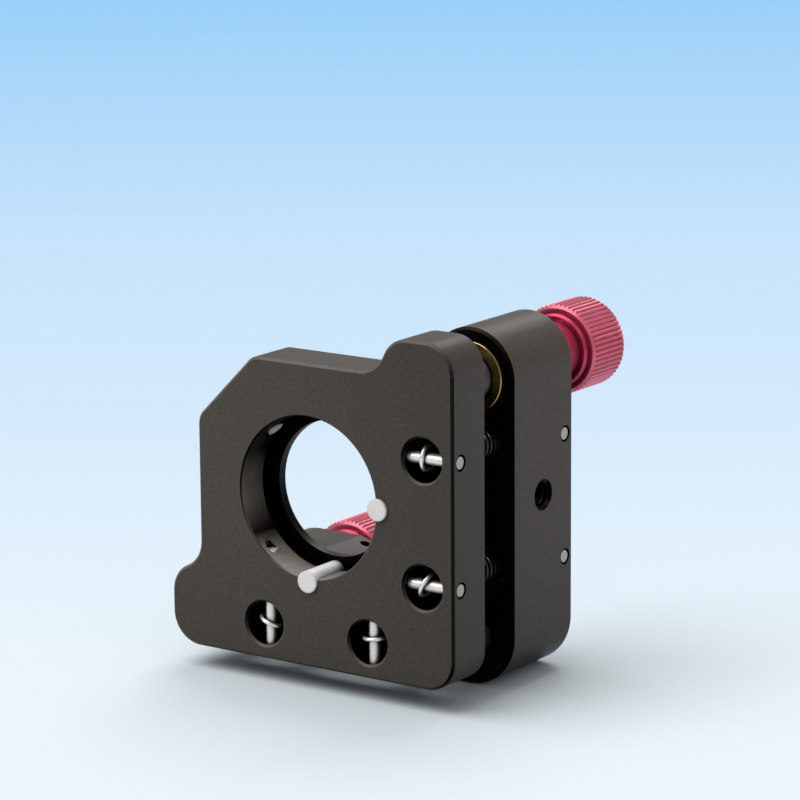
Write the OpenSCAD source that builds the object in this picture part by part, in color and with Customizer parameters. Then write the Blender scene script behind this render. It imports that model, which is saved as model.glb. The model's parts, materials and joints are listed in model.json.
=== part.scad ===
// Kinematic mirror mount: a front plate with a bore for a 20 mm optic stands on three balls
// in front of an L-shaped back plate, is held to it by four tension springs, and is steered
// by two fine-pitch adjuster screws.
// Millimetres. The origin lies on the optic's axis, in the plane of the seat the optic rests
// on. +X points to the side of the right-hand leg, +Y to the rear (the knobs), +Z up.

/* [Front plate] */
// thickness of the front plate
plate_t = 7.4; // [5:0.1:12]
// distance from the bore's axis to the right and bottom faces
plate_half = 22.5; // [18:0.1:32]
// distance from the bore's axis to the ends of the two ears
ear_reach = 22.35; // [18:0.05:32]
// distance from the left ear's end to the axis of its adjuster
ear_edge = 4.15; // [3.5:0.05:7]
// distance from the bore's axis to the body's left and top edges
body_half = 17.6; // [14:0.1:28]
// radius of the ears' corners and of the corner by the pivot
ear_r = 4.2; // [1:0.1:7]
// radius of the two arcs of an ear's blend into the body
blend_r = 4.0; // [1:0.1:4.1]
// how far along the edge the middle of an ear's blend stands from the bore's axis
ear_mid = 11.9; // [8:0.1:18]
// distance from the bore's axis to the flat that the clamp screw enters
clamp_flat = 18.5; // [14:0.1:26]
// radius at each end of that flat
clamp_flat_r = 2.5; // [0.5:0.1:5]
// width of the bevel along the outer edges of both plates
bevel = 0.35; // [0.1:0.05:1]

/* [Optic bore] */
// radius of the pocket for the optic
pocket_r = 10.65; // [6:0.05:16]
// depth of the plain wall of the pocket, from the front face
pocket_wall = 4.7; // [2:0.1:8]
// depth of the pocket down to the seat
seat_depth = 6.1; // [3:0.1:9]
// how much the relief groove beside the seat is wider in radius than the pocket
relief = 0.55; // [0.1:0.05:1]
// radius of the clear aperture through the seat
aperture_r = 9.0; // [5:0.1:14]
// width of the bevel at the pocket's mouth
mouth_bevel = 0.2; // [0.05:0.05:0.6]
// radius of the two nylon rods that the optic lies on
rod_r = 1.45; // [0.8:0.05:2]
// distance from the bore's axis to each rod's axis
rod_at = 11.05; // [8:0.05:15]
// how far the rods stand out of the front face
rod_proud = 0.35; // [0:0.05:1]

/* [Clamp screw] */
// radius of the clamp screw
clamp_r = 1.5; // [1:0.1:2.5]
// depth of the clamp screw's axis behind the front face
clamp_depth = 3.4; // [2:0.1:5]
// distance from the bore's axis to the inner end of the nylon tip
tip_end = 10.5; // [8:0.05:14]
// radius of the nylon tip
tip_r = 1.1; // [0.5:0.05:1.3]
// length of the nylon tip
tip_l = 2.8; // [1.5:0.1:4]
// how far the nylon tip stands out of the screw
tip_out = 1.3; // [0.5:0.1:2]
// how far the screw's outer end lies under its flat
clamp_sunk = 0.5; // [0:0.1:2]
// width across the flats of the screw's hexagon socket
clamp_hex = 1.5; // [0.9:0.1:2]
// depth of that socket
clamp_hex_d = 1.8; // [1:0.1:3]

/* [Back plate] */
// gap between the two plates
plate_gap = 6.25; // [3:0.05:10]
// thickness of the back plate
back_t = 14.1; // [8:0.1:20]
// width of both legs of the L
leg_w = 13.0; // [9:0.1:18]
// how much lower the back plate's bottom is than the front plate's
back_drop = 3.0; // [0:0.1:6]
// radius of the corner by the pivot
back_corner_r = 7.0; // [2:0.1:10]
// radius inside the L's corner
back_inner_r = 2.0; // [0.5:0.1:5]
// radius of the shallow dip in each leg's inner face
dip_r = 25.6; // [20:0.1:60]
// half the length of a dip
dip_half = 8.9; // [5:0.1:10]
// distance of a dip's middle from the inner face of the other leg
dip_mid = 11.9; // [11:0.1:14]
// radius of the two tapped mounting holes (M4, tap drill)
tap_r = 1.65; // [1.2:0.05:3]
// radius of the countersink at their mouths
tap_mouth_r = 2.1; // [1.5:0.05:4]
// depth of the mounting holes
tap_d = 8.0; // [4:0.5:10]
// how far the mounting holes lie behind the back plate's front face
tap_back = 7.05; // [4:0.05:10]
// height of the side mounting hole
tap_side_z = -0.8; // [-6:0.1:6]
// position of the base mounting hole to the side
tap_base_x = -2.2; // [-6:0.1:6]

/* [Adjusters] */
// radius of the adjuster screws
screw_r = 3.0; // [2:0.1:4]
// radial running clearance of screws in their threads and of balls in their sockets
run_gap = 0.03; // [0.01:0.01:0.1]
// outer radius of the threaded bushings
bush_r = 4.87; // [4:0.01:6]
// width of the bevel at the bushings' ends
bush_bevel = 0.3; // [0.1:0.05:0.8]
// gap between the back plate and a knob
knob_gap = 5.7; // [3.5:0.1:9]
// radius of the neck in front of a knob's collar
neck_r = 3.9; // [3.4:0.1:4.5]
// length of the neck
neck_l = 2.6; // [1:0.1:3]
// radius of a knob's collar
collar_r = 4.9; // [3.5:0.1:6]
// length of the collar
collar_l = 0.65; // [0.5:0.05:4]
// bevel at the collar's front end
collar_bevel = 0.3; // [0.1:0.05:0.6]
// radius of the knurled drum, over the teeth
knob_r = 6.0; // [5:0.1:8]
// length of the drum
knob_l = 7.4; // [4:0.1:12]
// depth of the knurling
knurl_d = 0.24; // [0.1:0.02:0.5]
// number of teeth around the drum
knurl_n = 56; // [24:1:72]
// bevel at the drum's front end
drum_bevel = 0.45; // [0.1:0.05:1]
// bevel at its rear end
knob_bevel = 0.3; // [0.1:0.05:1]
// thickness of the glue line between screw and knob
glue = 0.02; // [0.01:0.01:0.05]
// how deep the screw's end lies under the knob's rear face
screw_sunk = 2.4; // [1:0.1:4]
// width across the flats of the knob's hexagon socket
knob_hex = 3.0; // [1.5:0.1:4]
// depth of that socket
knob_hex_d = 1.6; // [0.5:0.1:2]

/* [Seats] */
// radius of the three balls
ball_r = 2.2; // [1.5:0.1:3]
// distance from the front plate's rear face to the balls' centres
ball_out = 1.4; // [0.5:0.1:2]
// how far a screw's front end lies behind its ball's centre
cup_back = 0.6; // [0.2:0.1:1.5]
// radius of the hardened seats
seat_r = 3.0; // [2.2:0.1:3.2]
// how deep the seats are let into the front plate
seat_t = 3.0; // [2:0.1:4]
// working gap between a ball and its seat
seat_gap = 0.03; // [0.01:0.01:0.1]

/* [Springs] */
// radius of the spring holes in the front plate
hole_r = 2.9; // [2.4:0.1:3.5]
// width of the bevel at their mouths
hole_bevel = 0.3; // [0.1:0.05:0.6]
// radius of the spring holes in the back plate
back_hole_r = 3.4; // [2.4:0.1:3.6]
// distance from the front plate's right and bottom faces to their rows of spring holes
hole_edge = 4.7; // [4:0.05:7]
// first hole of the front plate's right side, above the bore's axis
hole_hi = 7.2; // [4:0.05:10]
// second hole of the front plate's right side, below the bore's axis
hole_lo = 9.25; // [4:0.05:12]
// how much lower the back plate's right-hand holes are than the front plate's
lean_side = 0.92; // [0:0.01:1.5]
// how much further left the back plate's bottom holes are than the front plate's
lean_base = 2.2; // [0:0.05:2.5]
// how much lower the back plate's bottom holes are than the front plate's
drop_base = 0.4; // [0:0.05:1.5]
// radius of the cross pins
pin_r = 0.8; // [0.5:0.05:1.2]
// distance of the front pins behind the front face
pin_front = 1.75; // [1:0.05:4]
// distance of the rear pins from the back plate's rear face
pin_rear = 1.85; // [1:0.05:4]
// radius of the counterbore at each pin's hole
pin_mouth_r = 1.1; // [0.9:0.05:1.6]
// depth of that counterbore
pin_mouth_d = 0.5; // [0.2:0.1:1.5]
// how far the pins' ends lie under the plates' faces
pin_sunk = 0.12; // [0:0.02:0.5]
// how far the first pin of each pair ends short of the pocket, or of the L's inner face
pin_short = 0.25; // [0.2:0.05:2]
// how far the second pin of each front pair reaches past its spring hole
pin_bite = 1.6; // [0.8:0.1:2.5]
// outer radius of the spring coils
coil_r = 2.0; // [1.4:0.05:2.8]
// radius of the spring wire
wire_r = 0.29; // [0.15:0.01:0.4]
// number of turns in each spring
coil_n = 20; // [10:1:26]
// length of the bend between a coil and its loop
hook_run = 1.9; // [1:0.1:3]

/* [Hidden] */
$fn = 72;
e = 0.3;
front_y = -seat_depth;
rear_y = front_y + plate_t;
back_y = rear_y + plate_gap;
end_y = back_y + back_t;
tap_y = back_y + tap_back;
pin_y1 = front_y + pin_front;
pin_y2 = end_y - pin_rear;
ball_y = rear_y + ball_out;
hole_row = plate_half - hole_edge;
axis_x = plate_half - leg_w / 2;
base_z = -plate_half - back_drop;
axis_z = base_z + leg_w / 2;
left_x = ear_edge - ear_reach;
// both adjusters stand equally far from the pivot
lever = axis_x - left_x;
top_z = axis_z + lever;
cup_y = ball_y + cup_back;
knob_y = end_y + knob_gap;
drum_y = knob_y + collar_l;
knob_end = drum_y + knob_l;
// how far a dip's axis lies off its leg's inner face
dip_off = sqrt(dip_r * dip_r - dip_half * dip_half);
dip_deep = dip_r - dip_off;
leg_x = plate_half - leg_w;
leg_z = base_z + leg_w;
apex_y = ball_y - (ball_r + seat_gap) * sqrt(2);
clamp_y = front_y + clamp_depth;
// where the front pins end: just short of the pocket's wall, or blind past the spring hole
pin_deep = sqrt(pocket_r * pocket_r - hole_hi * hole_hi) + pin_short;
pin_blind = hole_row - hole_r - pin_bite;

// an ear's blend: two equal arcs and a short straight between two parallel edges
ear_step = ear_reach - body_half;
ear_turn = acos(1 - ear_step / (2 * ear_r));
ear_run = ear_step / 2 / tan(ear_turn);
flat_cut = clamp_flat * sqrt(2) - body_half;

// corners of the front plate, anticlockwise from the pivot's: x, z, radius
FRONT = [
  [plate_half, -plate_half, ear_r],
  [plate_half, ear_reach, ear_r],
  [ear_mid + ear_run, ear_reach, blend_r],
  [ear_mid - ear_run, body_half, blend_r],
  [-flat_cut, body_half, clamp_flat_r],
  [-body_half, flat_cut, clamp_flat_r],
  [-body_half, ear_run - ear_mid, blend_r],
  [-ear_reach, -ear_run - ear_mid, blend_r],
  [-ear_reach, -plate_half, ear_r]
];
// corners of the back plate
BACK = [
  [plate_half, base_z, back_corner_r],
  [plate_half, top_z + leg_w / 2, leg_w / 2],
  [leg_x, top_z + leg_w / 2, leg_w / 2],
  [leg_x, leg_z, back_inner_r],
  [left_x - leg_w / 2, leg_z, leg_w / 2],
  [left_x - leg_w / 2, base_z, leg_w / 2]
];
// spring ends: x, z in the front plate, x, z in the back plate
SPRING = [
  [hole_row, hole_hi, hole_row, hole_hi - lean_side],
  [hole_row, -hole_lo, hole_row, -hole_lo - lean_side],
  [-hole_hi, -hole_row, -hole_hi - lean_base, -hole_row - drop_base],
  [hole_lo, -hole_row, hole_lo - lean_base, -hole_row - drop_base]
];
// slant of each spring's loops on its pins, and how far the spring sits off its holes' middle
SLANT = [4, 26, 20, -6];
SHIFT = [-0.45, -0.45, 0, 0.35];

// ---- outlines with rounded corners -------------------------------------------------------
function pt(v) = [v[0], v[1]];
function unit(v) = v / norm(v);
function left(v) = [-v[1], v[0]];
function step(P, i) = unit(pt(P[(i + 1) % len(P)]) - pt(P[i]));
function came(P, i) = step(P, (i + len(P) - 1) % len(P));
function bend(P, i) = came(P, i)[0] * step(P, i)[1] - came(P, i)[1] * step(P, i)[0];
function turned(P, i) = acos(came(P, i) * step(P, i));
function side(P, i) = bend(P, i) > 0 ? 1 : -1;
function reach(P, i) = P[i][2] * tan(turned(P, i) / 2);
function t_in(P, i) = pt(P[i]) - came(P, i) * reach(P, i);
function t_out(P, i) = pt(P[i]) + step(P, i) * reach(P, i);
function hub(P, i) = t_in(P, i) + left(came(P, i)) * P[i][2] * side(P, i);
function heading(v) = atan2(v[1], v[0]);

// a round bar along Y
module bar(x, z, r, y0, y1) {
  translate([x, y1, z]) rotate([90, 0, 0]) cylinder(r = r, h = y1 - y0);
}
// a round bar along X
module bar_x(y, z, r, x0, x1) {
  translate([x0, y, z]) rotate([0, 90, 0]) cylinder(r = r, h = x1 - x0);
}
// a round bar along Z
module bar_z(x, y, r, z0, z1) {
  translate([x, y, z0]) cylinder(r = r, h = z1 - z0);
}
// a cone along Y, r0 at y0 and r1 at y1
module cone_y(x, z, r0, r1, y0, y1) {
  translate([x, y1, z]) rotate([90, 0, 0]) cylinder(r1 = r1, r2 = r0, h = y1 - y0);
}

// the plate between y0 and y1 inside a rounded outline, before its bevels
module blank(P, y0, y1) {
  difference() {
    union() {
      translate([0, y1, 0]) rotate([90, 0, 0]) linear_extrude(y1 - y0)
        polygon([for (i = [0 : len(P) - 1]) each [t_in(P, i), t_out(P, i)]]);
      for (i = [0 : len(P) - 1]) if (side(P, i) > 0)
        bar(hub(P, i)[0], hub(P, i)[1], P[i][2], y0, y1);
    }
    for (i = [0 : len(P) - 1]) if (side(P, i) < 0)
      bar(hub(P, i)[0], hub(P, i)[1], P[i][2], y0 - e, y1 + e);
  }
}

// what a bevel takes off one face at y; s is -1 on the front face and 1 on the rear. The
// cuts overlap where they meet: a hollow corner's runs on along the edges beside it, and a
// straight edge's runs on past a rounded corner, where neither takes anything more.
module bevels(P, y, s) {
  for (i = [0 : len(P) - 1]) {
    k = side(P, i);
    r = P[i][2];
    h = hub(P, i);
    more = k > 0 ? -2 : 6;
    from = heading((k > 0 ? t_in(P, i) : t_out(P, i)) - h) - more;
    translate([h[0], y, h[1]]) rotate([90, 0, 0]) rotate([0, 0, from])
      rotate_extrude(angle = turned(P, i) + 2 * more)
        polygon([[r - k * (bevel + e), -s * e], [r + k * e, -s * e],
                 [r + k * e, s * (bevel + e)]]);
    n = (i + 1) % len(P);
    a = t_out(P, i) - (k > 0 ? e : 0) * step(P, i);
    d = t_in(P, n) + (side(P, n) > 0 ? e : 0) * step(P, i) - a;
    translate([a[0], y, a[1]]) rotate([0, -heading(d), 0]) rotate([90, 0, 90])
      linear_extrude(norm(d))
        polygon([[s * e, bevel + e], [s * e, -e], [-s * (bevel + e), -e]]);
  }
}

// ---- front plate and what it carries -----------------------------------------------------
module front_plate() {
  color([0.10, 0.10, 0.10]) difference() {
    blank(FRONT, front_y, rear_y);
    bevels(FRONT, front_y, -1);
    bevels(FRONT, rear_y, 1);
    bar(0, 0, pocket_r, front_y - e, front_y + pocket_wall);
    cone_y(0, 0, pocket_r + mouth_bevel + e, pocket_r - e, front_y - e,
           front_y + mouth_bevel + e);
    bar(0, 0, pocket_r + relief, front_y + pocket_wall, 0);
    bar(0, 0, aperture_r, -e, rear_y + e);
    bar(rod_at, 0, rod_r, front_y - e, 0);
    bar(0, -rod_at, rod_r, front_y - e, 0);
    for (s = SPRING) {
      bar(s[0], s[1], hole_r, front_y - e, rear_y + e);
      cone_y(s[0], s[1], hole_r + hole_bevel + e, hole_r - e, front_y - e,
             front_y + hole_bevel + e);
    }
    pin_hole_x(pin_y1, hole_hi, 0);
    pin_hole_x(pin_y1, -hole_lo, pin_blind);
    pin_hole_z(-hole_hi, pin_y1, -plate_half, 0);
    pin_hole_z(hole_lo, pin_y1, -plate_half, -pin_blind);
    seat_hole(axis_x, axis_z);
    seat_hole(axis_x, top_z);
    seat_hole(left_x, axis_z);
    clamp_hole();
  }
}

// a pin's hole from the right face, with its counterbore, as far as x
module pin_hole_x(y, z, x) {
  bar_x(y, z, pin_r, x, plate_half + e);
  bar_x(y, z, pin_mouth_r, plate_half - pin_mouth_d, plate_half + e);
}
// a pin's hole from a bottom face at z0, as far as z1
module pin_hole_z(x, y, z0, z1) {
  bar_z(x, y, pin_r, z0 - e, z1);
  bar_z(x, y, pin_mouth_r, z0 - e, z0 + pin_mouth_d);
}
module seat_hole(x, z) {
  bar(x, z, seat_r, rear_y - seat_t, rear_y + e);
}
// anything drawn along +Z from the bore's axis, turned to point out through the clamp's flat
module clamp_line() {
  translate([0, clamp_y, 0]) rotate([0, -45, 0]) children();
}
module clamp_hole() {
  clamp_line() cylinder(r = clamp_r + run_gap, h = clamp_flat + 4);
}

module cone_seat() {
  color([0.75, 0.76, 0.78]) difference() {
    bar(axis_x, axis_z, seat_r, rear_y - seat_t, rear_y);
    cone_y(axis_x, axis_z, 0, rear_y + e - apex_y, apex_y, rear_y + e);
  }
}
module vee_seat() {
  half = rear_y + e - apex_y;
  color([0.75, 0.76, 0.78]) difference() {
    bar(axis_x, top_z, seat_r, rear_y - seat_t, rear_y);
    translate([axis_x, 0, top_z - seat_r - e]) linear_extrude(2 * (seat_r + e))
      polygon([[0, apex_y], [half, rear_y + e], [-half, rear_y + e]]);
  }
}
module flat_seat() {
  color([0.75, 0.76, 0.78])
    bar(left_x, axis_z, seat_r, rear_y - seat_t, ball_y - ball_r - seat_gap);
}
module rod_side() {
  color([0.86, 0.87, 0.87]) bar(rod_at, 0, rod_r, front_y - rod_proud, 0);
}
module rod_base() {
  color([0.86, 0.87, 0.87]) bar(0, -rod_at, rod_r, front_y - rod_proud, 0);
}
module clamp_screw() {
  top = clamp_flat - clamp_sunk;
  color([0.16, 0.16, 0.17]) clamp_line() difference() {
    translate([0, 0, tip_end + tip_out]) cylinder(r = clamp_r, h = top - tip_end - tip_out);
    cylinder(r = tip_r + run_gap, h = tip_end + tip_l + run_gap);
    translate([0, 0, top - clamp_hex_d]) linear_extrude(clamp_hex_d + e) hexagon(clamp_hex);
  }
}
module clamp_tip() {
  color([0.86, 0.87, 0.87]) clamp_line() translate([0, 0, tip_end])
    cylinder(r = tip_r, h = tip_l);
}
// a hexagon by its width across the flats
module hexagon(w) {
  polygon([for (i = [0 : 5]) w / sqrt(3) * [cos(60 * i), sin(60 * i)]]);
}

// ---- back plate and what it carries ------------------------------------------------------
module back_plate() {
  color([0.10, 0.10, 0.10]) difference() {
    blank(BACK, back_y, end_y);
    bevels(BACK, back_y, -1);
    bevels(BACK, end_y, 1);
    bar(axis_x, top_z, bush_r, back_y - e, end_y + e);
    bar(left_x, axis_z, bush_r, back_y - e, end_y + e);
    bar(axis_x, axis_z, screw_r, back_y - e, end_y - 2);
    for (s = SPRING) bar(s[2], s[3], back_hole_r, back_y - e, end_y + e);
    for (i = [0, 1]) pin_hole_x(pin_y2, SPRING[i][3], leg_x - e);
    for (i = [2, 3]) pin_hole_z(SPRING[i][2], pin_y2, base_z, leg_z + e);
    dip(leg_x - dip_mid, leg_z + dip_off)
      translate([leg_x - dip_mid - dip_half - 2 * e, back_y - 2 * e, leg_z - dip_deep - 2 * e])
        cube([2 * dip_half + 4 * e, back_t + 4 * e, dip_deep + 3 * e]);
    dip(leg_x - dip_off, leg_z + dip_mid)
      translate([leg_x - e, back_y - 2 * e, leg_z + dip_mid - dip_half - 2 * e])
        cube([dip_deep + 3 * e, back_t + 4 * e, 2 * dip_half + 4 * e]);
    bar_x(tap_y, tap_side_z, tap_r, plate_half - tap_d, plate_half + e);
    translate([plate_half + e, tap_y, tap_side_z]) rotate([0, -90, 0])
      cylinder(r1 = tap_mouth_r + e, r2 = tap_r - e, h = tap_mouth_r - tap_r + 2 * e);
    bar_z(tap_base_x, tap_y, tap_r, base_z - e, base_z + tap_d);
    translate([tap_base_x, tap_y, base_z - e])
      cylinder(r1 = tap_mouth_r + e, r2 = tap_r - e, h = tap_mouth_r - tap_r + 2 * e);
  }
}

// what makes a dip: a cylinder along Y about x, z with a bevel at each face, kept to a box
module dip(x, z) {
  intersection() {
    union() {
      bar(x, z, dip_r, back_y - e, end_y + e);
      cone_y(x, z, dip_r + bevel + e, dip_r - e, back_y - e, back_y + bevel + e);
      cone_y(x, z, dip_r - e, dip_r + bevel + e, end_y - bevel - e, end_y + e);
    }
    children();
  }
}

module bushing(x, z) {
  bore = screw_r + run_gap;
  color([0.78, 0.60, 0.28]) difference() {
    intersection() {
      bar(x, z, bush_r, back_y, end_y);
      cone_y(x, z, bush_r - bush_bevel, bush_r - bush_bevel + back_t, back_y, end_y);
      cone_y(x, z, bush_r - bush_bevel + back_t, bush_r - bush_bevel, back_y, end_y);
    }
    bar(x, z, bore, back_y - e, end_y + e);
    cone_y(x, z, bore + bush_bevel + e, bore - e, back_y - e, back_y + bush_bevel + e);
    cone_y(x, z, bore - e, bore + bush_bevel + e, end_y - bush_bevel - e, end_y + e);
  }
}
module upper_bushing() { bushing(axis_x, top_z); }
module side_bushing() { bushing(left_x, axis_z); }

// a rod of the screws' size with a socket for the ball in its front end
module cupped(x, z, y1) {
  difference() {
    bar(x, z, screw_r, cup_y, y1);
    translate([x, ball_y, z]) sphere(r = ball_r + run_gap);
    cone_y(x, z, screw_r + e, screw_r - bush_bevel - 2 * e, cup_y - 2 * e,
           cup_y + bush_bevel + e);
  }
}
module pivot_pin() { color([0.78, 0.79, 0.80]) cupped(axis_x, axis_z, end_y - 2); }
module ball(x, z) { color([0.82, 0.83, 0.84]) translate([x, ball_y, z]) sphere(r = ball_r); }
module pivot_ball() { ball(axis_x, axis_z); }
module upper_ball() { ball(axis_x, top_z); }
module side_ball() { ball(left_x, axis_z); }
module upper_screw() {
  color([0.72, 0.73, 0.74]) cupped(axis_x, top_z, knob_end - screw_sunk);
}
module side_screw() {
  color([0.72, 0.73, 0.74]) cupped(left_x, axis_z, knob_end - screw_sunk);
}

// the drum's toothed outline
module knurl() {
  polygon([for (i = [0 : knurl_n - 1]) each [
    knob_r * [cos(360 / knurl_n * (i - 0.12)), sin(360 / knurl_n * (i - 0.12))],
    knob_r * [cos(360 / knurl_n * (i + 0.12)), sin(360 / knurl_n * (i + 0.12))],
    (knob_r - knurl_d) * [cos(360 / knurl_n * (i + 0.5)), sin(360 / knurl_n * (i + 0.5))]
  ]]);
}
module knob(x, z) {
  color([0.75, 0.30, 0.38]) difference() {
    union() {
      bar(x, z, neck_r, knob_y - neck_l, knob_y + e);
      intersection() {
        bar(x, z, collar_r, knob_y, drum_y + e);
        cone_y(x, z, collar_r - collar_bevel, collar_r + 1, knob_y,
               knob_y + collar_bevel + 1);
      }
      intersection() {
        translate([x, knob_end, z]) rotate([90, 0, 0]) linear_extrude(knob_l) knurl();
        cone_y(x, z, knob_r - drum_bevel, knob_r - drum_bevel + knob_l, drum_y, knob_end);
        cone_y(x, z, knob_r - knob_bevel + knob_l, knob_r - knob_bevel, drum_y, knob_end);
      }
    }
    bar(x, z, screw_r + glue, knob_y - neck_l - e, knob_end - screw_sunk);
    translate([x, knob_end + e, z]) rotate([90, 0, 0])
      linear_extrude(knob_hex_d + e) hexagon(knob_hex);
  }
}
module upper_knob() { knob(axis_x, top_z); }
module side_knob() { knob(left_x, axis_z); }

// ---- cross pins --------------------------------------------------------------------------
module front_pin_x(z, x0) {
  color([0.84, 0.85, 0.86]) bar_x(pin_y1, z, pin_r, x0, plate_half - pin_sunk);
}
module front_pin_z(x, z1) {
  color([0.84, 0.85, 0.86]) bar_z(x, pin_y1, pin_r, pin_sunk - plate_half, z1);
}
module rear_pin_x(i) {
  color([0.84, 0.85, 0.86])
    bar_x(pin_y2, SPRING[i][3], pin_r, leg_x + dip_deep + pin_short, plate_half - pin_sunk);
}
module rear_pin_z(i) {
  color([0.84, 0.85, 0.86])
    bar_z(SPRING[i][2], pin_y2, pin_r, base_z + pin_sunk, leg_z - dip_deep - pin_short);
}
module front_pin_1() { front_pin_x(hole_hi, pin_deep); }
module front_pin_2() { front_pin_x(-hole_lo, pin_blind); }
module front_pin_3() { front_pin_z(-hole_hi, -pin_deep); }
module front_pin_4() { front_pin_z(hole_lo, -pin_blind); }
module rear_pin_1() { rear_pin_x(0); }
module rear_pin_2() { rear_pin_x(1); }
module rear_pin_3() { rear_pin_z(2); }
module rear_pin_4() { rear_pin_z(3); }

// ---- springs -----------------------------------------------------------------------------
// a loop's centre line, from its free end to the coil. The loop is as wide as the coil, stands
// in a plane through the coil's axis and rests on the pin at the origin, rh in front of the
// pin's axis; then comes the bend onto the coil
function hook(rh, rm) = let (c = rm - rh) concat(
  [for (a = [120 : 20 : 360]) [rm * cos(a), 0, c + rm * sin(a)]],
  [for (s = [0.2 : 0.2 : 1]) let (q = 90 * s * s)
    [rm * cos(q), rm * sin(q), c + hook_run * (1 - (1 - s) * (1 - s))]]
);
// the same loop at the other end of a spring of length l, read from the coil to its free end
function far_hook(rh, rm, l) = let (h = hook(rh, rm), n = len(h))
  [for (i = [n - 1 : -1 : 0]) [-h[i][0], h[i][1], l - h[i][2]]];
function coil(rh, rm, l) = let (m = coil_n * 9, c = rm - rh + hook_run)
  [for (i = [1 : m - 1]) let (q = 90 + 360 * coil_n * i / m)
    [rm * cos(q), rm * sin(q), c + (l - 2 * c) * i / m]];
function centre_line(rh, rm, l) = concat(hook(rh, rm), coil(rh, rm, l), far_hook(rh, rm, l));

// directions square to the line, carried along it without twisting
function run(P, i) = unit(P[min(i + 1, len(P) - 1)] - P[max(i - 1, 0)]);
function square_to(v, t) = unit(v - (v * t) * t);
function carried(P, i, v, out) = i == len(P) ? out
  : let (w = square_to(v, run(P, i))) carried(P, i + 1, w, concat(out, [w]));

// wire drawn along a centre line, six-sided
module wire(P) {
  n = len(P);
  N = carried(P, 0, [0, 1, 0], []);
  points = [for (i = [0 : n - 1]) let (b = cross(run(P, i), N[i]))
    for (j = [0 : 5]) P[i] + wire_r * (cos(60 * j) * N[i] + sin(60 * j) * b)];
  faces = concat(
    [[for (j = [0 : 5]) j]],
    [for (i = [0 : n - 2]) for (j = [0 : 5]) let (a = 6 * i + j, b = 6 * i + (j + 1) % 6)
      each [[b, a, a + 6], [b, a + 6, b + 6]]],
    [[for (j = [5 : -1 : 0]) 6 * (n - 1) + j]]
  );
  polyhedron(points = points, faces = faces, convexity = 10);
}

// one spring: its line runs from the front pin to the rear pin. The pins lie along one
// direction, and the loops stand across it before they are slanted
module spring(i, along, across) {
  s = SPRING[i];
  d = [s[2] - s[0], pin_y2 - pin_y1, s[3] - s[1]];
  w = unit(d);
  u0 = square_to(across, w);
  v0 = cross(w, u0);
  u = cos(SLANT[i]) * u0 + sin(SLANT[i]) * v0;
  v = cross(w, u);
  rh = (pin_r + wire_r + 0.01) / cos(SLANT[i]);
  line = [for (p = centre_line(rh, coil_r - wire_r, norm(d)))
    [s[0], pin_y1, s[1]] + SHIFT[i] * along + p[0] * u + p[1] * v + p[2] * w];
  color([0.80, 0.81, 0.82]) wire(line);
}
module spring_1() { spring(0, [1, 0, 0], [0, 0, 1]); }
module spring_2() { spring(1, [1, 0, 0], [0, 0, 1]); }
module spring_3() { spring(2, [0, 0, 1], [1, 0, 0]); }
module spring_4() { spring(3, [0, 0, 1], [1, 0, 0]); }

front_plate();
cone_seat();
vee_seat();
flat_seat();
rod_side();
rod_base();
clamp_screw();
clamp_tip();
back_plate();
upper_bushing();
side_bushing();
pivot_pin();
pivot_ball();
upper_ball();
upper_screw();
upper_knob();
side_ball();
side_screw();
side_knob();
front_pin_1();
front_pin_2();
front_pin_3();
front_pin_4();
rear_pin_1();
rear_pin_2();
rear_pin_3();
rear_pin_4();
spring_1();
spring_2();
spring_3();
spring_4();
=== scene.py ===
"""Looks of the kinematic mirror mount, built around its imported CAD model. Metres."""
import json
import math

import bpy
import numpy as np
from mathutils import Matrix, Vector

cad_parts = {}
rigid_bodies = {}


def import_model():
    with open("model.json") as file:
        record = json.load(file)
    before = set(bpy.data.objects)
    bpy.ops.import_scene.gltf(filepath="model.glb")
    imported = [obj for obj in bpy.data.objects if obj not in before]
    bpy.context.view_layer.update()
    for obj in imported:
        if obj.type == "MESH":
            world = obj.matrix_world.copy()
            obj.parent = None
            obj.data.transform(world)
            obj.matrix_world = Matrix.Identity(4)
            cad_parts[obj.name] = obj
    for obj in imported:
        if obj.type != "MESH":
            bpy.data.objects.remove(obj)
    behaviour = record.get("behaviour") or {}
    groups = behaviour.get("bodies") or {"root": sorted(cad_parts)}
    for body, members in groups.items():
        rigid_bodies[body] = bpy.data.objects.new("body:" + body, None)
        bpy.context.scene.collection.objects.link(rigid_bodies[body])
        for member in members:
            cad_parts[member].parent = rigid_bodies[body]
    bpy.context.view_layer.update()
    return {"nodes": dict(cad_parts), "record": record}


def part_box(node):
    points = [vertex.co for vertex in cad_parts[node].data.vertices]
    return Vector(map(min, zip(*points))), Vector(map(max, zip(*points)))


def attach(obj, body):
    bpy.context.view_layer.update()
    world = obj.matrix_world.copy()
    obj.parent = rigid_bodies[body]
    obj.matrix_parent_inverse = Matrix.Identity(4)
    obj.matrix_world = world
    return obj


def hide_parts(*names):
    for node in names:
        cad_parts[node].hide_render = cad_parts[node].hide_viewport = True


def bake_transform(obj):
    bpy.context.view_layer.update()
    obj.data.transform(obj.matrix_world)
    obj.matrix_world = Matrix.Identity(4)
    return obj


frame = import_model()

MM = 0.001


# ---- places taken from the frame -----------------------------------------------------------
def middle(node):
    lo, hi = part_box(node)
    return (lo + hi) / 2


FRONT_LO, FRONT_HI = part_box("front_plate")
BACK_LO, BACK_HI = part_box("back_plate")
FLOOR_Z = BACK_LO.z

# ---- sizes of the CAD parts that their boxes don't give ------------------------------------
BEVEL = 0.35 * MM
# the pocket's plain wall lies within this radius and in front of this y; the relief groove, the
# seat and the aperture lie behind it, within the other radius
POCKET_R = 10.72 * MM
POCKET_END = -1.45 * MM
SEAT_R = 11.3 * MM
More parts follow.
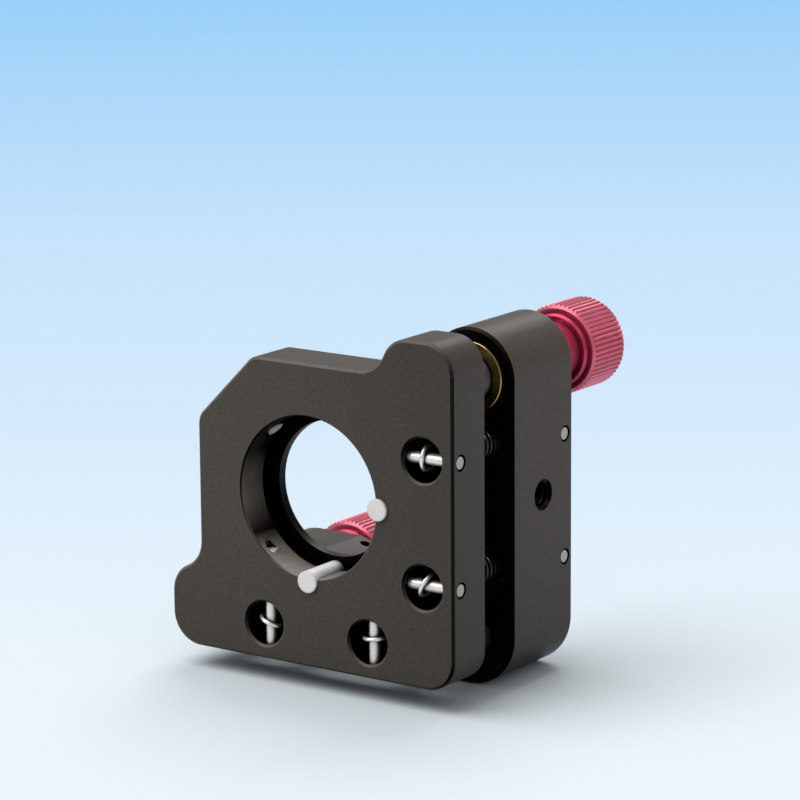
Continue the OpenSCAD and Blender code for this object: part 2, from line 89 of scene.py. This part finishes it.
# the spring holes' walls lie within this radius of their axes, which form a row on the right
# and one below, this far from the bore's axis
SPRING_HOLE_R = 2.95 * MM
ROW = FRONT_HI.x - 4.7 * MM
# how much lower the back plate's bottom row is than the front plate's
ROW_DROP = 0.4 * MM
# the axes of the back plate's tapped holes in the side and the base
TAP_Y = (BACK_LO.y + BACK_HI.y) / 2
TAP_SIDE_Z = -0.8 * MM
TAP_BASE_X = -2.2 * MM
# their threads and their countersinks lie within these radii, and the countersinks no deeper
# than this
TAP_R = 1.72 * MM
TAP_MOUTH_R = 2.6 * MM
TAP_MOUTH = 0.7 * MM
# the M4 thread's pitch, and how deep it starts
TAP_PITCH = 0.7 * MM
TAP_START = 0.4 * MM
ADJUSTER_PITCH = 0.25 * MM
# a knob's neck, collar and socket lie within this radius, and the teeth of its drum outside it
KNOB_CORE_R = 5.2 * MM
PIN_R = 0.8 * MM
# the pins' ends lie within this of the front plate's right face or underside, or further out
PIN_END = 0.3 * MM
# a step inwards from a face that leaves the face itself out
HAIR = 0.02 * MM


# ---- shader nodes --------------------------------------------------------------------------
def feed(socket, value):
    """Link another node's output to a socket, or set the socket to a plain value."""
    if hasattr(value, "is_output"):
        socket.id_data.links.new(value, socket)
    else:
        socket.default_value = value


def new_material(name):
    """A material with a Principled shader, and a short way to add and link its nodes."""
    mat = bpy.data.materials.new(name)
    mat.use_nodes = True
    tree = mat.node_tree
    shader = tree.nodes["Principled BSDF"]

    def add(kind, **inputs):
        n = tree.nodes.new(kind)
        for key, value in inputs.items():
            feed(n.inputs[key.replace("_", " ")], value)
        return n

    return mat, tree, shader, add


def grey(v):
    return (v, v, v)


def shade(colour, k):
    return tuple(c * k for c in colour)


def ramp(tree, fac, stops):
    """A colour ramp: stops are (position, colour)."""
    n = tree.nodes.new("ShaderNodeValToRGB")
    tree.links.new(fac, n.inputs["Fac"])
    while len(n.color_ramp.elements) < len(stops):
        n.color_ramp.elements.new(0.5)
    for element, (position, colour) in zip(n.color_ramp.elements, stops):
        element.position = position
        element.color = (*colour, 1)
    return n.outputs["Color"]


def math_node(add, operation, a, b=0.0):
    n = add("ShaderNodeMath")
    n.operation = operation
    for socket, value in zip(n.inputs, (a, b)):
        feed(socket, value)
    return n.outputs[0]


def plus(add, a, b):
    return math_node(add, "ADD", a, b)


def minus(add, a, b):
    return math_node(add, "SUBTRACT", a, b)


def times(add, a, b):
    return math_node(add, "MULTIPLY", a, b)


def above(add, a, b):
    return math_node(add, "GREATER_THAN", a, b)


def below(add, a, b):
    return math_node(add, "LESS_THAN", a, b)


def both(add, a, b):
    return math_node(add, "MULTIPLY", a, b)


def either(add, a, b):
    return math_node(add, "MAXIMUM", a, b)


def length(add, a, b):
    """How long the vector (a, b) is."""
    return math_node(add, "SQRT", plus(add, times(add, a, a), times(add, b, b)))


def off_axis(add, a, b, axis):
    """How far (a, b) is from the two coordinates of an axis."""
    return length(add, minus(add, a, axis[0]), minus(add, b, axis[1]))


def bands(add, along, pitch):
    """A wave of this pitch along a coordinate."""
    return math_node(add, "SINE", times(add, along, 2 * math.pi / pitch))


def split(add, vector):
    return add("ShaderNodeSeparateXYZ", Vector=vector).outputs


def tinted(add, colour, factor):
    """A colour times another, or times a plain number."""
    mix = add("ShaderNodeVectorMath")
    mix.operation = "MULTIPLY"
    for socket, value in zip(mix.inputs, (colour, factor)):
        feed(socket, grey(value) if isinstance(value, float) else value)
    return mix.outputs[0]


def openness(tree, add, reach, free):
    """A painted shade: dark where the surface within reach of a point closes most of its view, and one
    where the share free of its view is left or more."""
    hidden = add("ShaderNodeAmbientOcclusion", Distance=reach)
    hidden.samples = 8
    return ramp(tree, hidden.outputs["AO"], [(0.30, grey(0.03)), (free, grey(1.0))])


# ---- threads, and light and shade painted on single places ---------------------------------
# how much lighter the plates' front bevels are painted on top, a painted highlight, and how much
# darker on the right, and how much darker the plates' undersides and hollows are, all painted shade
TOP_PAINTED_HIGHLIGHT = 1.3
RIGHT_SHADE = 1.2
UNDER_SHADE = 0.65
HOLLOW_SHADE = 0.9
# the light and shade painted on the pocket's wall: how light it is, from overhead at 0 to its floor at 1
POCKET_PAINTED_LIGHT = [(0.28, 0.15), (0.42, 1.7), (0.60, 2.5), (0.69, 1.2), (0.78, 0.07), (0.88, 3.6), (1.0, 2.8)]
# how much darker the pins' ends are than their sides: a painted shade
PIN_END_SHADE = 0.55
# the painted shade that makes the knobs' necks, collars and ends a deeper red
NECK_PAINTED_SHADE = (0.74, 0.32, 0.54)


def adjuster_thread(tree, add, place):
    """The adjuster screws' fine thread, along Y."""
    return bands(add, split(add, place)["Y"], ADJUSTER_PITCH)


def tap_axes(add, place):
    """For each tapped hole: a place's coordinate along it, the same without its sign, where the
    hole starts, and how far off its axis the place lies."""
    x, y, z = split(add, place)
    side = (x, y, z, TAP_SIDE_Z, BACK_HI.x)
    base = (z, y, x, TAP_BASE_X, -BACK_LO.z)
    for along, a, b, centre, start in (side, base):
        yield along, math_node(add, "ABSOLUTE", along), start, off_axis(add, a, b, (TAP_Y, centre))


def tapped_holes(tree, add, place):
    """The M4 thread on the walls of the back plate's two tapped holes, and nothing elsewhere."""
    total = 0.0
    for along, out, start, off in tap_axes(add, place):
        here = both(add, below(add, off, TAP_R), below(add, out, start - TAP_START))
        total = plus(add, times(add, here, bands(add, along, TAP_PITCH)), total)
    return total


def plate_painted_shade_places(add, place, x, y, z, ny):
    """One where the plates get a painted shade, and zero elsewhere. These places are the back plate's
    front face, the seat and the aperture, the tapped holes' countersinks and the spring holes' walls."""
    dark = both(add, above(add, y, BACK_LO.y - BEVEL), below(add, y, BACK_LO.y + BEVEL))
    seat = both(add, above(add, y, POCKET_END), below(add, y, FRONT_HI.y + BEVEL))
    # the front plate's rear face, which looks backwards, is left out
    seat = both(add, seat, below(add, ny, 0.5))
    dark = either(add, dark, both(add, seat, below(add, length(add, x, z), SEAT_R)))
    for _, out, start, off in tap_axes(add, place):
        mouth = both(add, above(add, out, start - TAP_MOUTH), below(add, out, start - HAIR))
        dark = either(add, dark, both(add, mouth, below(add, off, TAP_MOUTH_R)))
    for i in (1, 2, 3, 4):
        pin = middle(f"front_pin_{i}")
        off = off_axis(add, x, z, (ROW, pin.z) if i < 3 else (pin.x, -ROW))
        # what looks to the front isn't a wall of the hole
        wall = both(add, below(add, y, FRONT_HI.y - HAIR), above(add, ny, -0.5))
        dark = either(add, dark, both(add, wall, below(add, off, SPRING_HOLE_R)))
    return dark


def pocket_painted_light(tree, add, x, y, z, nz):
    """The pocket's wall gets painted light and shade: dark overhead, and below it a dark band divides
    two light ones. One everywhere else."""
    wall = both(add, below(add, y, POCKET_END), below(add, length(add, x, z), POCKET_R))
    lean = plus(add, times(add, nz, 0.5), 0.5)
    painted_streaks = ramp(tree, lean, [(height, grey(shine)) for height, shine in POCKET_PAINTED_LIGHT])
    return plus(add, times(add, wall, painted_streaks), minus(add, 1.0, wall))


def plate_painted_light(tree, add, place):
    """Painted light on the plates: a painted highlight on the front bevels on top and painted shade
    on the right, painted shade on their undersides and hollows, and painted light and shade on the
    pocket's wall."""
    x, y, z = split(add, place)
    nx, ny, nz = split(add, add("ShaderNodeTexCoord").outputs["Normal"])
    # a bevel lies at 45 degrees to the front
    bevel = both(add, below(add, ny, -0.4), above(add, ny, -0.9))
    top = times(add, bevel, math_node(add, "MAXIMUM", nz, 0.0))
    right = times(add, bevel, math_node(add, "MAXIMUM", nx, 0.0))
    under = math_node(add, "MINIMUM", nz, 0.0)
    painted_tone = plus(add, 1.0, times(add, top, TOP_PAINTED_HIGHLIGHT))
    painted_tone = minus(add, painted_tone, times(add, right, RIGHT_SHADE))
    painted_tone = plus(add, painted_tone, times(add, under, UNDER_SHADE))
    painted_tone = times(add, painted_tone, pocket_painted_light(tree, add, x, y, z, nz))
    shaded_place = plate_painted_shade_places(add, place, x, y, z, ny)
    return times(add, painted_tone, minus(add, 1.0, times(add, shaded_place, HOLLOW_SHADE)))


def pin_painted_shade(tree, add, place):
    """The pins' ends get a painted shade, darker than their sides."""
    x, _, z = split(add, place)
    end = either(add, above(add, x, FRONT_HI.x - PIN_END), below(add, z, FRONT_LO.z + PIN_END))
    return minus(add, 1.0, times(add, end, PIN_END_SHADE))


def knob_painted_shade(tree, add, place):
    """The knobs' necks, collars and ends get a painted shade: a deeper red than the teeth of their drums."""
    x, _, z = split(add, place)
    off = 1.0
    for knob in ("upper_knob", "side_knob"):
        axis = middle(knob)
        off = math_node(add, "MINIMUM", off, off_axis(add, x, z, (axis.x, axis.z)))
    # the ramp runs from the axis to this radius
    widest = 10 * MM
    core = KNOB_CORE_R / widest
    return ramp(tree, times(add, off, 1 / widest), [(core, NECK_PAINTED_SHADE), (core + 0.03, grey(1.0))])


# ---- finishes ------------------------------------------------------------------------------
MATERIALS = {}
# how fine the finest grain is, and how deep it and a thread look
FINE_GRAIN = 7 / MM
GRAIN_DEPTH = 0.02 * MM
THREAD_DEPTH = 0.12 * MM


def surface(name, colour, metallic, rough, spread=0.1, grain=400, bump=0.02, thread=None, deep=None,
            free=0.66, painted_tone=None, shade_dims_shine=False, soften=0.0, **sockets):
    """A finish with a slightly uneven colour and roughness and a fine grain. thread is a
    function for a screw thread's height, and tone one for the light and shade painted on a place.
    Recesses narrower than deep get a painted shade where less than the share free of their view is
    open, and where dull is set that painted shade takes their shine away too. Sharp edges look
    rounded by soften."""
    mat, tree, shader, add = new_material(name)
    place = add("ShaderNodeTexCoord").outputs["Object"]
    cloud = add("ShaderNodeTexNoise", Vector=place, Scale=grain, Detail=5.0, Roughness=0.65)
    fine = add("ShaderNodeTexNoise", Vector=place, Scale=FINE_GRAIN, Detail=2.0)
    tint = ramp(tree, cloud.outputs["Fac"],
                [(0.3, shade(colour, 1 - spread)), (0.7, shade(colour, 1 + spread))])
    # the painted shade in recesses, and the light and shade painted on single places
    light = openness(tree, add, deep, free) if deep else 1.0
    if painted_tone:
        light = tinted(add, light, painted_tone(tree, add, place))
    if light != 1.0:
        tint = tinted(add, tint, light)
    tree.links.new(tint, shader.inputs["Base Color"])
    gloss = ramp(tree, cloud.outputs["Fac"], [(0.25, grey(rough * 0.9)), (0.75, grey(rough * 1.12))])
    tree.links.new(gloss, shader.inputs["Roughness"])
    relief = add("ShaderNodeBump", Height=fine.outputs["Fac"], Strength=bump, Distance=GRAIN_DEPTH)
    if soften:
        rounded = add("ShaderNodeBevel", Radius=soften)
        rounded.samples = 6
        tree.links.new(rounded.outputs["Normal"], relief.inputs["Normal"])
    if thread:
        relief = add("ShaderNodeBump", Height=thread(tree, add, place), Strength=0.9,
                     Distance=THREAD_DEPTH, Normal=relief.outputs["Normal"])
    tree.links.new(relief.outputs["Normal"], shader.inputs["Normal"])
    shader.inputs["Metallic"].default_value = metallic
    if shade_dims_shine:
        # where shade is painted the surface becomes metallic, because a black metal reflects nothing: the
        # painted shade takes the shine away too
        closed = minus(add, 1.0, light)
        closed.node.use_clamp = True
        tree.links.new(closed, shader.inputs["Metallic"])
    for key, value in sockets.items():
        shader.inputs[key.replace("_", " ")].default_value = value
    MATERIALS[name] = mat


# deep gives a finish a painted shade in its recesses
surface("black_anodised", (0.0600, 0.0522, 0.0452), 0.0, 0.38, spread=0.20, grain=2600, bump=0.30,
        thread=tapped_holes, deep=6.5 * MM, free=0.80, painted_tone=plate_painted_light, shade_dims_shine=True,
        Specular_IOR_Level=0.12)
surface("hardened_steel", grey(0.30), 1.0, 0.28, spread=0.05, grain=500, bump=0.05, deep=8 * MM)
surface("nylon", grey(0.73), 0.0, 0.42, spread=0.03, grain=300, bump=0.1, deep=5 * MM, soften=0.35 * MM)
surface("black_steel", (0.04, 0.04, 0.045), 0.6, 0.35, grain=500, bump=0.1)
surface("brass", (0.55, 0.36, 0.13), 1.0, 0.22, spread=0.12, grain=500, bump=0.08, deep=8 * MM)
surface("stainless_steel", (0.40, 0.405, 0.41), 1.0, 0.34, spread=0.06, bump=0.05,
        thread=adjuster_thread, deep=8 * MM)
surface("plain_steel", grey(0.30), 1.0, 0.34, spread=0.06, bump=0.05, deep=8 * MM)
surface("red_anodised", (0.665, 0.133, 0.202), 0.65, 0.30, spread=0.05, grain=500, bump=0.12,
        deep=9 * MM, painted_tone=knob_painted_shade)
surface("pin_steel", (0.90, 0.86, 0.81), 0.60, 0.38, spread=0.04, grain=500, bump=0.05,
        deep=3 * MM, painted_tone=pin_painted_shade)
surface("spring_steel", (0.92, 0.89, 0.85), 0.8, 0.34, spread=0.05, grain=700, bump=0.05, deep=3 * MM)
# the coils' copy of the spring steel, darkened to a painted shade
surface("spring_coil_painted_shade", grey(0.065), 1.0, 0.34, spread=0.06, grain=700, bump=0.05, deep=8 * MM)

for part in frame["record"]["subparts"]:
    node = frame["nodes"][part["node"]]
    node.data.materials.clear()
    plain = part["node"] == "pivot_pin"
    node.data.materials.append(MATERIALS["plain_steel" if plain else part["material_slot"]])


# ---- springs -------------------------------------------------------------------------------
WIRE_R = 0.29 * MM
# the coil's radius to the middle of its wire
COIL_R = 2.0 * MM - WIRE_R
TURNS = 20
# the length of the bend between a coil and its loop
HOOK_RUN = 1.9 * MM
# the clearance between a loop and its pin
SLACK = 0.01 * MM
# a loop starts at this angle and ends at 360 degrees
HOOK_START = 120
# how many steps a loop, its bend, a turn of the coil and the wire's girth are drawn in
LOOP_STEPS = 30
BEND_STEPS = 10
TURN_STEPS = 26
SIDES = 12
# how many rings from a wire's free end are bright: its loop and the start of the bend; the other
# rings have a painted shade
LOOP_RINGS = 36
# where the two rings that round a wire's end lie and how wide they are, in radii
ROUND_END = [(-0.7, 0.7), (-0.35, 0.93)]
# the three lengths of a spring meet this deep in the holes of the front and the back plate
CUT_FRONT = 0.3 * MM
CUT_BACK = 0.8 * MM


def unit(v):
    return v / np.linalg.norm(v)


def hook(rh, rm):
    """A loop of the coil's radius rm that rests on a pin at the origin, from its free end to
    where the coil begins. The wire's middle is rh from the pin's."""
    centre = rm - rh
    turn = np.radians(np.linspace(HOOK_START, 360, LOOP_STEPS + 1))
    path = [(rm * math.cos(a), 0, centre + rm * math.sin(a)) for a in turn]
    for s in np.linspace(0, 1, BEND_STEPS + 1)[1:]:
        q = math.pi / 2 * s * s
        path.append((rm * math.cos(q), rm * math.sin(q), centre + HOOK_RUN * (1 - (1 - s) ** 2)))
    return np.array(path)


def spring_line(rh, rm, span):
    """The whole centre line, from the front loop's free end to the rear loop's."""
    front = hook(rh, rm)
    rear = (front * (-1, 1, -1) + (0, 0, span))[::-1]
    s = np.linspace(0, 1, TURNS * TURN_STEPS + 1)[1:-1]
    q = math.pi / 2 + 2 * math.pi * TURNS * s
    start = rm - rh + HOOK_RUN
    coil = np.stack([rm * np.cos(q), rm * np.sin(q), start + (span - 2 * start) * s], 1)
    return np.concatenate([front, coil, rear])


def tube(name, line, radius, bright):
    """A round wire along a line of points, closed with rounded ends. bright says which of its
    rings belong to a loop; the other rings are darkened to a painted shade."""
    run = np.gradient(line, axis=0)
    run /= np.linalg.norm(run, axis=1)[:, None]
    # any direction that no wire starts along gives the first ring its turn
    side = unit(np.cross(run[0], (0.31, 0.87, 0.4)))
    a = 2 * math.pi * np.arange(SIDES) / SIDES
    rings = []
    for p, t in zip(line, run):
        side = unit(side - (side @ t) * t)
        other = np.cross(t, side)
        rings.append((p, t, np.outer(np.cos(a), side) + np.outer(np.sin(a), other)))
    first, last = rings[0], rings[-1]
    verts = [first[0] + first[1] * radius * x + first[2] * radius * y for x, y in ROUND_END]
    verts += [p + radius * c for p, _, c in rings]
    verts += [last[0] - last[1] * radius * x + last[2] * radius * y for x, y in ROUND_END[::-1]]
    n = len(verts)
    faces = []
    for i in range(n - 1):
        here, there = i * SIDES, (i + 1) * SIDES
        for j in range(SIDES):
            k = (j + 1) % SIDES
            faces.append([here + j, here + k, there + k, there + j])
    faces += [list(range(SIDES))[::-1], [(n - 1) * SIDES + j for j in range(SIDES)]]
    mesh = bpy.data.meshes.new(name)
    mesh.from_pydata(np.concatenate(verts).tolist(), [], faces)
    mesh.update()
    mesh.polygons.foreach_set("use_smooth", [True] * len(mesh.polygons))
    mesh.materials.append(MATERIALS["spring_coil_painted_shade"])
    mesh.materials.append(MATERIALS["spring_steel"])
    for face in mesh.polygons:
        face.material_index = int(face.vertices[0] // SIDES in bright)
    obj = bpy.data.objects.new(name, mesh)
    bpy.context.scene.collection.objects.link(obj)
    return obj


def pin_points(i):
    """Where spring i's line crosses its front and rear pins, in the middle of its holes."""
    front, rear = middle(f"front_pin_{i}"), middle(f"rear_pin_{i}")
    if i < 3:
        return np.array((ROW, front.y, front.z)), np.array((ROW, rear.y, rear.z))
    return np.array((front.x, front.y, -ROW)), np.array((rear.x, rear.y, -ROW - ROW_DROP))


def spring(i, along, across, shift, slant):
    """Spring i between its two pins, in three lengths: one on each plate, and one between them
    that is attached to neither body. It sits off the middle of its holes, by
    shift along its pins, and its loops are turned by slant."""
    a, b = (end + shift * np.array(along) for end in pin_points(i))
    axis = b - a
    w = unit(axis)
    u0 = unit(np.array(across) - (np.array(across) @ w) * w)
    v0 = np.cross(w, u0)
    u = math.cos(slant) * u0 + math.sin(slant) * v0
    v = np.cross(w, u)
    local = spring_line((PIN_R + WIRE_R + SLACK) / math.cos(slant), COIL_R, np.linalg.norm(axis))
    line = a + local @ np.stack([u, v, w])
    cut_front = int(np.argmax(line[:, 1] > FRONT_HI.y - CUT_FRONT))
    cut_rear = len(line) - int(np.argmax(line[::-1, 1] < BACK_LO.y + CUT_BACK))
    rear_rings = len(line) - cut_rear + 2 * len(ROUND_END)
    nose = tube(f"spring_{i}_front", line[:cut_front + 1], WIRE_R, range(LOOP_RINGS))
    waist = tube(f"spring_{i}_middle", line[cut_front:cut_rear + 1], WIRE_R, ())
    tail = tube(f"spring_{i}_rear", line[cut_rear:], WIRE_R, range(rear_rings - LOOP_RINGS, rear_rings))
    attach(nose, "platform")
    tuple(line[cut_rear])
    tuple(line[cut_front])
    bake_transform(waist)
    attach(tail, "base")
    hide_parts(f"spring_{i}")


UP, ACROSS = (0, 0, 1), (1, 0, 0)
spring(1, ACROSS, UP, -0.45 * MM, math.radians(4))
spring(2, ACROSS, UP, -0.45 * MM, math.radians(26))
spring(3, UP, ACROSS, 0.0, math.radians(20))
spring(4, UP, ACROSS, 0.35 * MM, math.radians(-6))


# ---- floor, light and camera ---------------------------------------------------------------
# the camera looks at the bore's mouth from the right and above; the bore lies to the left of
# the middle of its view and below it
AZIMUTH, ELEVATION, ROLL = (math.radians(a) for a in (35.04, 12.58, -0.43))
DISTANCE = 472.1 * MM
AIM_RIGHT, AIM_UP = 11.84 * MM, 12.53 * MM
LENS = 166.3
FLOOR_SIZE = 12
# what the floor casts on the object, and what is seen of it from near to far
FLOOR_BOUNCE = (0.64, 0.62, 0.60)
FLOOR_COLOURS = [(0.0, (0.86, 0.95, 0.99)), (0.10, (0.785, 0.90, 0.985)), (0.25, (0.665, 0.825, 0.975)),
                 (0.42, (0.56, 0.77, 0.97)), (0.62, (0.33, 0.635, 0.95))]


def plain_floor():
    """A pale floor that turns from near white by the object to pale blue far behind it."""
    bpy.ops.mesh.primitive_plane_add(size=FLOOR_SIZE, location=(0, 0, FLOOR_Z))
    floor = bpy.context.object
    floor.name = "floor"
    mat, tree, shader, add = new_material("floor")
    x, y, _ = split(add, add("ShaderNodeTexCoord").outputs["Object"])
    away = minus(add, times(add, y, math.cos(AZIMUTH)), times(add, x, math.sin(AZIMUTH)))
    # seen from the camera, a place's height goes with one over its distance
    far = math_node(add, "DIVIDE", away, plus(add, away, DISTANCE))
    ray = add("ShaderNodeLightPath").outputs
    seen = either(add, ray["Is Camera Ray"], either(add, ray["Is Glossy Ray"], ray["Is Transmission Ray"]))
    mix = add("ShaderNodeMix", Factor=seen)
    mix.data_type = "RGBA"
    bounce, show = (socket for socket in mix.inputs if socket.type == "RGBA")
    bounce.default_value = (*FLOOR_BOUNCE, 1)
    tree.links.new(ramp(tree, far, FLOOR_COLOURS), show)
    result = next(socket for socket in mix.outputs if socket.type == "RGBA")
    tree.links.new(result, shader.inputs["Base Color"])
    shader.inputs["Roughness"].default_value = 1.0
    shader.inputs["Specular IOR Level"].default_value = 0.0
    floor.data.materials.append(mat)


def light_object_alone(lamp):
    lit = bpy.data.collections.new("lit_by_" + lamp.name)
    for piece in bpy.context.scene.objects:
        if piece.type == "MESH" and piece.name != "floor":
            lit.objects.link(piece)
    lamp.light_linking.receiver_collection = lit


def hang(data, towards):
    """A lamp that shines from the direction towards."""
    lamp = bpy.data.objects.new(data.name, data)
    bpy.context.scene.collection.objects.link(lamp)
    lamp.rotation_mode = "QUATERNION"
    lamp.rotation_quaternion = towards.to_track_quat("Z", "Y")
    return lamp


def soft_sun(name, towards, strength, angle):
    """A distant lamp as wide as angle, in degrees."""
    data = bpy.data.lights.new(name, "SUN")
    data.energy, data.angle = strength, math.radians(angle)
    return hang(data, Vector(towards))


def graded_box(name, place, aim, size, spread, strength, tint=(1, 1, 1)):
    """A softbox with a grid: it lights the object alone, with this strength where it aims and
    less beside it."""
    data = bpy.data.lights.new(name, "AREA")
    data.shape, data.size, data.spread, data.color = "SQUARE", size, math.radians(spread), tint
    towards = Vector(place) - Vector(aim)
    # the grid makes the middle of the beam brighter by this gain
    half = data.spread / 2
    gain = math.tan(half) / (math.tan(half) - half)
    data.energy = strength * math.pi * math.pi * towards.length_squared / gain
    lamp = hang(data, towards)
    lamp.location = place
    light_object_alone(lamp)


def lights():
    world = bpy.data.worlds.new("studio")
    bpy.context.scene.world = world
    world.use_nodes = True
    back = world.node_tree.nodes["Background"]
    back.inputs["Color"].default_value = (1.0, 1.0, 1.0, 1)
    back.inputs["Strength"].default_value = 0.40
    soft_sun("key", (-0.38, -0.38, 1.0), 1.36, 50)
    soft_sun("top", (-0.2, 0.6, 1.0), 0.8, 40)
    light_object_alone(soft_sun("rim", (-0.25, 0.80, 0.545), 0.25, 20))
    graded_box("side", (0.24, -0.02, 0.28), (BACK_HI.x, 0.020, 0.018), 0.04, 12, 0.85, (1.0, 0.89, 0.87))
    graded_box("graded", (-0.18, -0.30, 0.20), (-0.020, FRONT_LO.y, 0.012), 0.04, 15, 0.70)


def camera():
    data = bpy.data.cameras.new("camera")
    data.sensor_width, data.lens = 36, LENS
    data.clip_start, data.clip_end = 0.01, 20
    cam = bpy.data.objects.new("camera", data)
    bpy.context.scene.collection.objects.link(cam)
    back = Vector((math.sin(AZIMUTH) * math.cos(ELEVATION),
                   -math.cos(AZIMUTH) * math.cos(ELEVATION), math.sin(ELEVATION)))
    level = Vector((math.cos(AZIMUTH), math.sin(AZIMUTH), 0))
    upright = back.cross(level)
    right = level * math.cos(ROLL) + upright * math.sin(ROLL)
    up = upright * math.cos(ROLL) - level * math.sin(ROLL)
    eye = Vector((0, FRONT_LO.y, 0)) + right * AIM_RIGHT + up * AIM_UP + back * DISTANCE
    cam.matrix_world = Matrix.Translation(eye) @ Matrix((right, up, back)).transposed().to_4x4()
    bpy.context.scene.camera = cam


plain_floor()
lights()
camera()
bpy.context.scene.view_settings.view_transform = "Standard"
